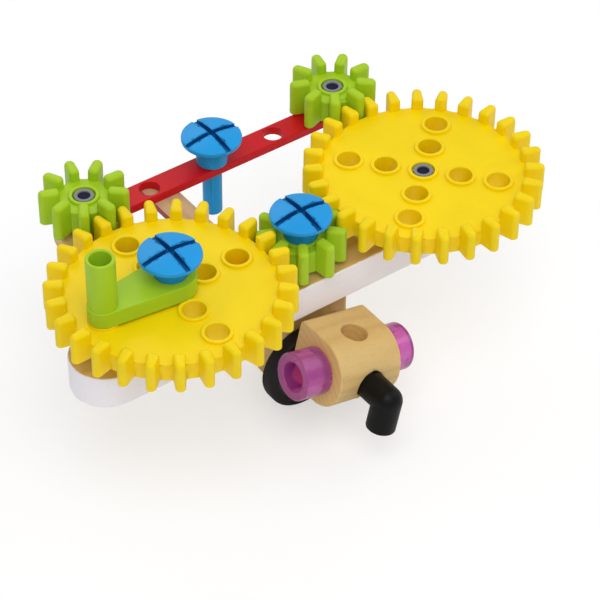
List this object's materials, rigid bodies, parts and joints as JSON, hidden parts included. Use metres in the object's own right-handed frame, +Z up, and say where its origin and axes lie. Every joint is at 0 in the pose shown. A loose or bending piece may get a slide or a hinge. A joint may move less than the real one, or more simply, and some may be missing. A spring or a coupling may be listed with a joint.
{
  "type": "wooden crank gear toy",
  "caption": "Toy gear train on a white-sided wooden beam: green crank, meshed yellow and green gears, red bar, blue slotted screws, rounded wooden block with pink clear tubes and black elbow.",
  "frame": {"origin": "on the ground at the foot of the standing block, under the axis of the idler gear", "axes": "+X along the beam from the crank gear to the driven gear, +Y towards the red bar, +Z up along the gear axes"},
  "size_m": [0.2297, 0.1478, 0.1159],
  "materials": {
    "maple": "satin",
    "painted_beam": "natural faces with white painted sides",
    "painted_strip": "natural faces with red painted sides",
    "yellow_plastic": "satin",
    "green_plastic": "satin",
    "lime_plastic": "satin",
    "blue_plastic": "satin",
    "red_plastic": "gloss",
    "grey_plastic": "matt",
    "navy_plastic": "matt",
    "pink_clear": "translucent",
    "black_plastic": "satin",
    "black_rubber": "matt"
  },
  "bodies": {
    "frame": {"main_beam": "painted_beam", "cross_plank": "maple", "red_bar": "red_plastic", "side_strip": "painted_strip", "arm_rivet": "red_plastic", "crank_screw": "blue_plastic", "idler_screw": "blue_plastic", "bar_screw": "blue_plastic", "driven_gear_pin": "grey_plastic", "driven_gear_pin_core": "navy_plastic", "left_corner_pin": "grey_plastic", "left_corner_pin_core": "navy_plastic", "right_corner_pin": "grey_plastic", "right_corner_pin_core": "navy_plastic", "crank_gear_spacer": "grey_plastic", "driven_gear_spacer": "grey_plastic", "idler_washer": "grey_plastic", "standing_block": "maple", "block_dowels": "maple", "rounded_block": "maple", "link_dowel": "maple", "left_clear_tube": "pink_clear", "right_clear_tube": "pink_clear", "black_elbow": "black_plastic", "wheel_pin": "black_plastic"},
    "crank": {"crank_gear": "yellow_plastic", "crank_handle": "lime_plastic"},
    "idler": {"idler_gear": "green_plastic"},
    "driven": {"driven_gear": "yellow_plastic"},
    "left_corner": {"left_corner_gear": "green_plastic"},
    "right_corner": {"right_corner_gear": "green_plastic"},
    "wheel": {"rubber_wheel": "black_rubber"}
  },
  "joints": [
    {"name": "crank_turn", "type": "hinge", "parent": "frame", "child": "crank", "pos_m": [-0.064, 0, 0.0831], "axis": [0, 0, 1], "continuous": true},
    {"name": "idler_spin", "type": "hinge", "parent": "frame", "child": "idler", "pos_m": [0, 0, 0.0755], "axis": [0, 0, 1], "continuous": true},
    {"name": "driven_spin", "type": "hinge", "parent": "frame", "child": "driven", "pos_m": [0.064, 0, 0.0807], "axis": [0, 0, 1], "continuous": true},
    {"name": "left_corner_spin", "type": "hinge", "parent": "frame", "child": "left_corner", "pos_m": [-0.064, 0.064, 0.0835], "axis": [0, 0, 1], "continuous": true},
    {"name": "right_corner_spin", "type": "hinge", "parent": "frame", "child": "right_corner", "pos_m": [0.064, 0.064, 0.0835], "axis": [0, 0, 1], "continuous": true},
    {"name": "wheel_spin", "type": "hinge", "parent": "frame", "child": "wheel", "pos_m": [-0.007, -0.0117, 0.019], "axis": [0, 1, 0], "continuous": true}
  ],
  "couplings": [
    {"joint": "idler_spin", "follows": "crank_turn", "ratio": -3},
    {"joint": "driven_spin", "follows": "crank_turn", "ratio": 1},
    {"joint": "left_corner_spin", "follows": "crank_turn", "ratio": -3},
    {"joint": "right_corner_spin", "follows": "crank_turn", "ratio": -3}
  ]
}
